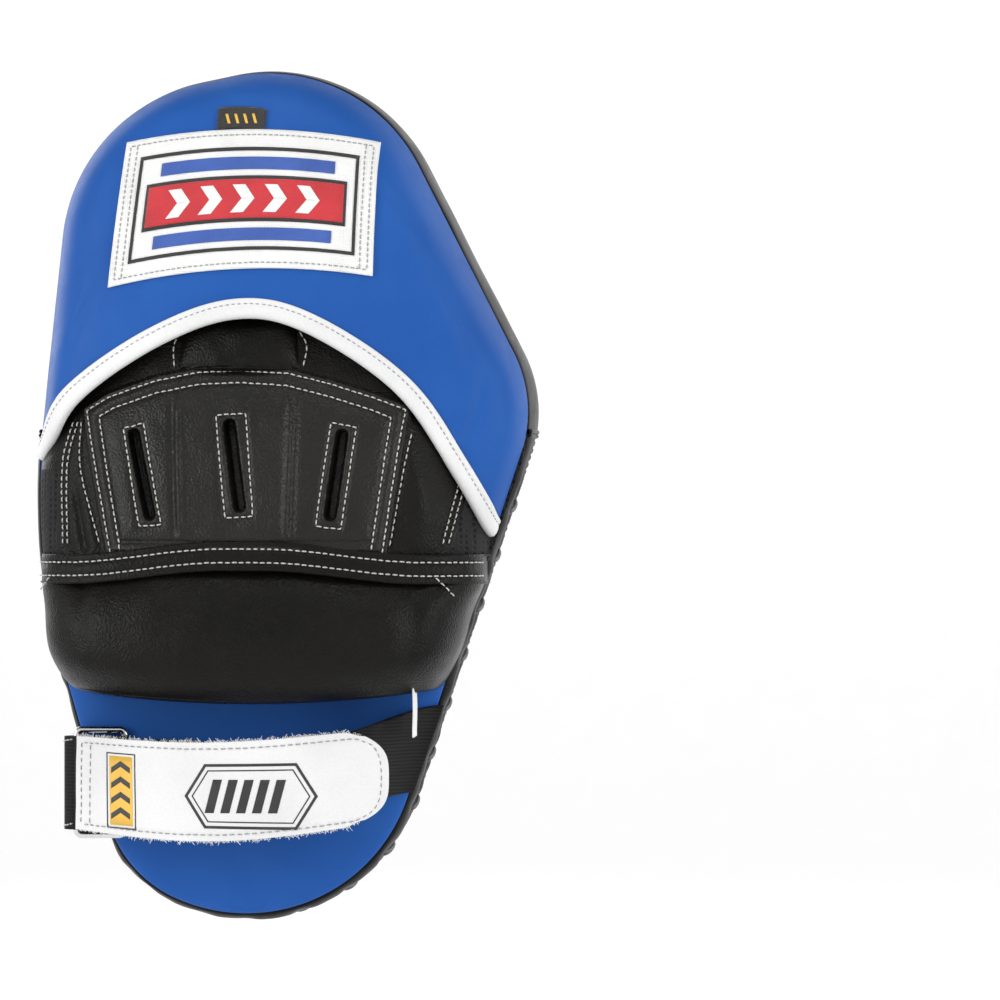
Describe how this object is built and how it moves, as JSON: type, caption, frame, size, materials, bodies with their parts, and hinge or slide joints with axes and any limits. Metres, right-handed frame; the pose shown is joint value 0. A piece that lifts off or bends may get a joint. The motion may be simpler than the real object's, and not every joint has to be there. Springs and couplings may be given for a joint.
{
  "type": "focus mitt",
  "caption": "Padded boxing focus mitt with a finger hood, a gloved hand pocket, a padded cuff, a laced side and a hook-and-loop wrist strap.",
  "frame": {"origin": "middle of the hand pocket, between the palm lining and the cuff's top edge", "axes": "+Z from the wrist towards the fingertips, +Y from the hand side towards the striking face, +X towards the thumb side"},
  "size_m": [0.1958, 0.1017, 0.3377],
  "materials": {
    "blue_leather": "semi-gloss",
    "black_leather": "semi-gloss",
    "white_leather": "semi-gloss",
    "black_lining": "matt",
    "black_mesh": "matt open mesh",
    "black_elastic": "ribbed",
    "black_cord": "waxed",
    "foam": "matt",
    "gel": "satin",
    "woven_patch": "woven",
    "woven_tag": "woven",
    "woven_label": "woven",
    "hook_tape": "brushed",
    "steel": "bright"
  },
  "bodies": {
    "root": {"back_panel": "blue_leather", "base_foam": "foam", "impact_foam": "foam", "gel_layer": "gel", "face_foam": "foam", "face_panel": "blue_leather", "upper_gusset": "black_leather", "lower_gusset": "black_leather", "lace_binding": "white_leather", "gusset_lace": "black_cord", "finger_hood": "blue_leather", "hood_lining": "black_lining", "hood_binding": "white_leather", "hood_patch": "woven_patch", "side_tag": "woven_tag", "hand_panel": "black_leather", "mesh_left": "black_mesh", "mesh_right": "black_mesh", "side_panel": "black_leather", "thumb_panel": "black_leather", "knuckle_panel": "black_leather", "finger_bridge": "black_leather", "cuff_foam": "foam", "cuff_lining": "black_lining", "cuff_cover": "black_leather", "cuff_band": "black_leather", "palm_lining": "black_lining", "palm_pad": "black_leather", "face_patch": "woven_patch", "ring_keeper": "black_elastic", "strap_elastic": "black_elastic", "label_tag": "woven_label"},
    "ring": {"ring": "steel", "strap_return": "black_elastic"},
    "strap_leg": {"strap_leg": "black_elastic"},
    "strap_tab": {"strap_tab": "white_leather", "strap_hook": "hook_tape"}
  },
  "joints": [
    {"name": "ring_pivot", "type": "hinge", "parent": "root", "child": "ring", "pos_m": [-0.0495, 0.0114, -0.11175], "axis": [0, 0, 1], "range_deg": [0, 35]},
    {"name": "strap_peel", "type": "hinge", "parent": "ring", "child": "strap_leg", "pos_m": [-0.068, 0.0077, -0.11175], "axis": [0, 0, -1], "range_deg": [0, 140]},
    {"name": "strap_pull", "type": "hinge", "parent": "strap_leg", "child": "strap_tab", "pos_m": [0.002, 0.085, -0.11175], "axis": [0, 0, 1], "range_deg": [0, 13]}
  ],
  "couplings": [
    {"joint": "ring_pivot", "follows": "strap_peel", "ratio": 0.25}
  ]
}
